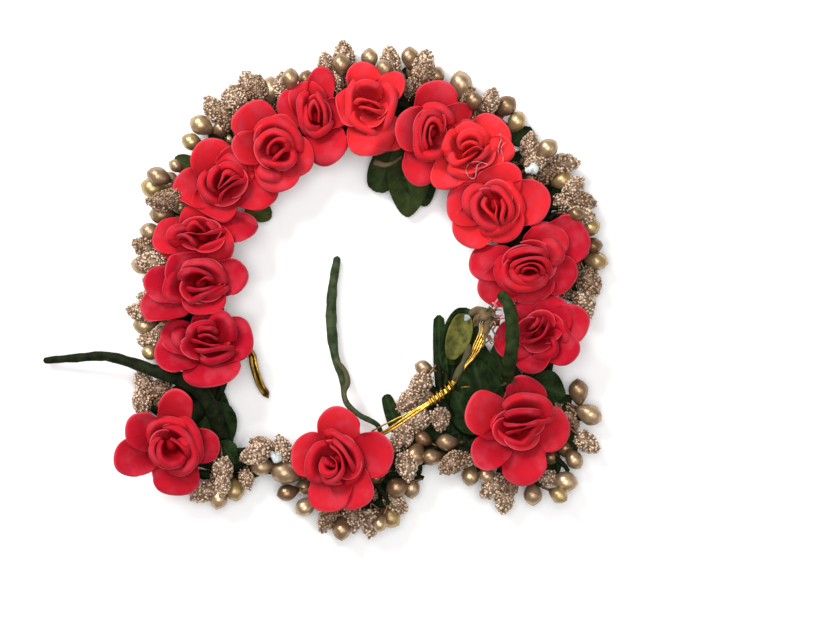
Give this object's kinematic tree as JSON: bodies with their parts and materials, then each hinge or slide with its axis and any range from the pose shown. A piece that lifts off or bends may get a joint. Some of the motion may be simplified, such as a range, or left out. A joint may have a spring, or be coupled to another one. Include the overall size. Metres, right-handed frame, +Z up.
{
  "type": "flower hair garland",
  "caption": "Open ring of red cloth roses with a fringe of gilt buds, dark leaves, taped stems and gold tying wire, worn round a hair bun.",
  "frame": {"origin": "middle of the opening for the hair bun, on the surface that the garland lies on", "axes": "+Z up out of that surface, towards the roses' faces; +Y towards the top of the ring, where the roses stand closest; +X to the right seen from +Z"},
  "size_m": [0.1716, 0.149, 0.026],
  "materials": {
    "rose_cloth": "matt, stiffened cloth with paler cut edges",
    "rose_heart_cloth": "matt, stiffened cloth, darker in its depths",
    "gilt_buds": "satin old-gold paint, smooth or sugared with grains",
    "leaf_cloth": "waxed dark green cloth with pressed veins",
    "tape": "crepe paper tape wound in ridges, slightly waxy",
    "gold_wire": "bright gold"
  },
  "bodies": {
    "root": {"core": "tape", "rose_01_petals": "rose_cloth", "rose_02_petals": "rose_cloth", "rose_03_petals": "rose_cloth", "rose_04_petals": "rose_cloth", "rose_05_petals": "rose_cloth", "rose_06_petals": "rose_cloth", "rose_07_petals": "rose_cloth", "rose_08_petals": "rose_cloth", "rose_09_petals": "rose_cloth", "rose_10_petals": "rose_cloth", "rose_11_petals": "rose_cloth", "rose_12_petals": "rose_cloth", "rose_13_petals": "rose_cloth", "rose_14_petals": "rose_cloth", "rose_15_petals": "rose_cloth", "rose_01_heart": "rose_heart_cloth", "rose_02_heart": "rose_heart_cloth", "rose_03_heart": "rose_heart_cloth", "rose_04_heart": "rose_heart_cloth", "rose_05_heart": "rose_heart_cloth", "rose_06_heart": "rose_heart_cloth", "rose_07_heart": "rose_heart_cloth", "rose_08_heart": "rose_heart_cloth", "rose_09_heart": "rose_heart_cloth", "rose_10_heart": "rose_heart_cloth", "rose_11_heart": "rose_heart_cloth", "rose_12_heart": "rose_heart_cloth", "rose_13_heart": "rose_heart_cloth", "rose_14_heart": "rose_heart_cloth", "rose_15_heart": "rose_heart_cloth", "spray_01": "gilt_buds", "spray_02": "gilt_buds", "spray_03": "gilt_buds", "spray_04": "gilt_buds", "spray_05": "gilt_buds", "spray_06": "gilt_buds", "spray_07": "gilt_buds", "spray_08": "gilt_buds", "spray_09": "gilt_buds", "spray_10": "gilt_buds", "spray_11": "gilt_buds", "spray_12": "gilt_buds", "spray_13": "gilt_buds", "spray_14": "gilt_buds", "spray_15": "gilt_buds", "spray_16": "gilt_buds", "spray_17": "gilt_buds", "leaf_01": "leaf_cloth", "leaf_02": "leaf_cloth", "leaf_03": "leaf_cloth", "leaf_04": "leaf_cloth", "leaf_05": "leaf_cloth", "leaf_06": "leaf_cloth", "tied_spray": "gilt_buds", "left_stem": "tape", "middle_stem": "tape", "right_stem": "tape", "left_gold_wire": "gold_wire", "right_gold_wire": "gold_wire"}
  },
  "joints": []
}
